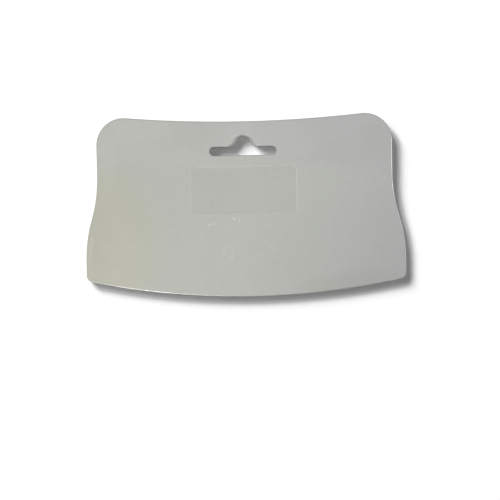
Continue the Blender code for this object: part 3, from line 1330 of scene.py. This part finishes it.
@dataclass(frozen=True)
class ShadowLamp(Lamp):
    """A far lamp that lays a part of the plate's soft shadow on the floor.

    Attributes:
        spread_degrees: How wide it looks from the plate, which softens the shadow.
    """

    spread_degrees: float

    def build(self) -> bpy.types.Object:
        """Makes the lamp.

        Returns:
            The lamp.
        """
        light = bpy.data.lights.new(self.name, "SUN")
        light.angle = math.radians(self.spread_degrees)
        light.energy = self.share * math.pi / self.direction().z
        return self.place(light)


@dataclass(frozen=True)
class PaleFloor:
    """The studio's plain white floor.

    Attributes:
        half_size: Half of the floor's side.
        lit_white: Brightness that lights the plate from below.
        seen_white: Brightness that is seen.
        seen_glow: What is added where it is seen, so that the shadow stays open.
    """

    half_size: float = 3.0
    lit_white: float = 0.85
    seen_white: float = 1.0
    seen_glow: float = 0.055

    def material(self) -> bpy.types.Material:
        """Builds the floor's material.

        Returns:
            The material.
        """
        made = bpy.data.materials.new("studio_floor")
        bench = ShaderBench(made)
        dull = bench.node("BsdfDiffuse", "for_light", {"Color": (self.lit_white,) * 3})
        white = bench.node("BsdfDiffuse", "for_the_eye", {"Color": (self.seen_white,) * 3})
        glow = bench.node("Emission", "open_shadow", {"Strength": self.seen_glow})
        inputs = {0: white.outputs[0], 1: glow.outputs[0]}
        both = bench.node("AddShader", "white_and_glow", inputs)
        bench.end(bench.split(dull.outputs[0], both.outputs[0]))
        return made

    def build(self) -> bpy.types.Object:
        """Makes the floor, with its top at z = 0.

        Returns:
            The floor.
        """
        shape = bmesh.new()
        bmesh.ops.create_grid(shape, x_segments=1, y_segments=1, size=self.half_size)
        floor = piece_from(shape, "studio_floor")
        floor.data.materials.append(self.material())
        return floor


@dataclass
class Studio:
    """The floor, the lamps and the white surroundings.

    Attributes:
        floor: The floor.
        shadow_lamps: The lamps that lay the shadow, and shine on the floor alone.
        lamps: The soft lamps round the plate, which shine on the plate alone.
        ambient: Strength of the even light from all round.
    """

    floor: PaleFloor = field(default_factory=PaleFloor)
    shadow_lamps: tuple[ShadowLamp, ...] = (
        ShadowLamp("shadow_low", 130.8, 14.6, 0.318, 11.8),
        ShadowLamp("shadow_back", 117.6, 19.8, 0.228, 10.3),
        ShadowLamp("shadow_left", 157.9, 20.9, 0.090, 19.9),
        ShadowLamp("shadow_high", 139.9, 20.9, 0.204, 12.7),
    )
    lamps: tuple[Softbox, ...] = (
        Softbox("key_softbox", 200.0, 62.0, 0.480, 1.00, (0.5, 0.5), (1.0, 0.99, 0.975)),
        Softbox("top_softbox", 50.0, 76.0, 0.32, 0.50, (0.4, 0.4), (0.985, 0.99, 1.0)),
        Softbox("right_strip", 6.0, 7.0, 0.12, 0.60, (0.12, 0.06), on_matt=False),
        Softbox("lower_strip", 250.0, 7.0, 0.17, 0.60, (0.12, 0.06), on_matt=False),
    )
    ambient: float = 0.13

    def surroundings(self) -> None:
        """Makes the world: white to look at, and an even, weak light on the plate."""
        world = bpy.data.worlds.new("studio_surroundings")
        bpy.context.scene.world = world
        bench = ShaderBench(world)
        shaders = []
        for label, strength in (("even_light", self.ambient), ("white_backdrop", 1.0)):
            inputs = {"Color": (1.0, 1.0, 1.0), "Strength": strength}
            shaders.append(bench.node("Background", label, inputs).outputs[0])
        bench.end(bench.split(*shaders))

    def build(self, plate: bpy.types.Object) -> None:
        """Sets up the studio round the plate.

        Args:
            plate: The modelled plate.
        """
        floor = self.floor.build()
        for lamps, lit in ((self.shadow_lamps, floor), (self.lamps, plate)):
            receivers = bpy.data.collections.new(f"lit_{lit.name}")
            receivers.objects.link(lit)
            for lamp in lamps:
                lamp.build().light_linking.receiver_collection = receivers
        self.surroundings()
        LOG.info("studio: floor and %d lamps", len(self.lamps) + len(self.shadow_lamps))


@dataclass(frozen=True)
class PhotoCamera:
    """The camera over the plate, with the tilt that the plate has in its picture.

    Attributes:
        focal_pixels: Focal length in pixels of the square picture.
        distance: Distance from the camera to the plate's pivot, along the view.
        roll_degrees: Turn of the plate in the picture.
        pitch_degrees: Tilt of the plate about the picture's level axis.
        yaw_degrees: Tilt of the plate about the picture's upright axis.
        pivot: The point of the plate that the tilts turn about.
        offset: The pivot's place right of and over the picture's middle.
        sensor: Width of the sensor in millimetres.
        nearest: How near the camera sees.
        farthest: How far it sees.
    """

    focal_pixels: float = 900.0
    distance: float = 0.4325
    roll_degrees: float = 0.947
    pitch_degrees: float = 2.447
    yaw_degrees: float = -3.046
    pivot: tuple[float, float, float] = (0.0, 0.005590, 0.0012)
    offset: tuple[float, float] = (-0.00297, 0.02658)
    sensor: float = 36.0
    nearest: float = 0.01
    farthest: float = 20.0

    def build(self) -> bpy.types.Object:
        """Makes the camera and looks through it.

        Returns:
            The camera.
        """
        lens = bpy.data.cameras.new("photo_camera")
        lens.sensor_fit = "HORIZONTAL"
        lens.sensor_width = self.sensor
        lens.lens = self.focal_pixels / PIXELS * self.sensor
        lens.clip_start = self.nearest
        lens.clip_end = self.farthest
        roll = Matrix.Rotation(math.radians(self.roll_degrees), 3, "Z")
        pitch = Matrix.Rotation(math.radians(self.pitch_degrees), 3, "X")
        yaw = Matrix.Rotation(math.radians(self.yaw_degrees), 3, "Y")
        to_world = (roll @ pitch @ yaw).transposed()
        across, up = self.offset
        eye = to_world @ Vector((-across, -up, self.distance)) + Vector(self.pivot)
        made = add_to_scene("photo_camera", lens)
        made.matrix_world = Matrix.Translation(eye) @ to_world.to_4x4()
        bpy.context.scene.camera = made
        return made


def main() -> None:
    """Builds the plate, the studio and the camera."""
    logging.basicConfig(level=logging.INFO, format="%(message)s")
    bpy.context.scene.view_settings.view_transform = "Standard"
    PhotoCamera().build()
    spatula = SpatulaPlate()
    plate = spatula.build()
    spatula.dress(plate)
    Studio().build(plate)


if __name__ == "__main__":
    main()
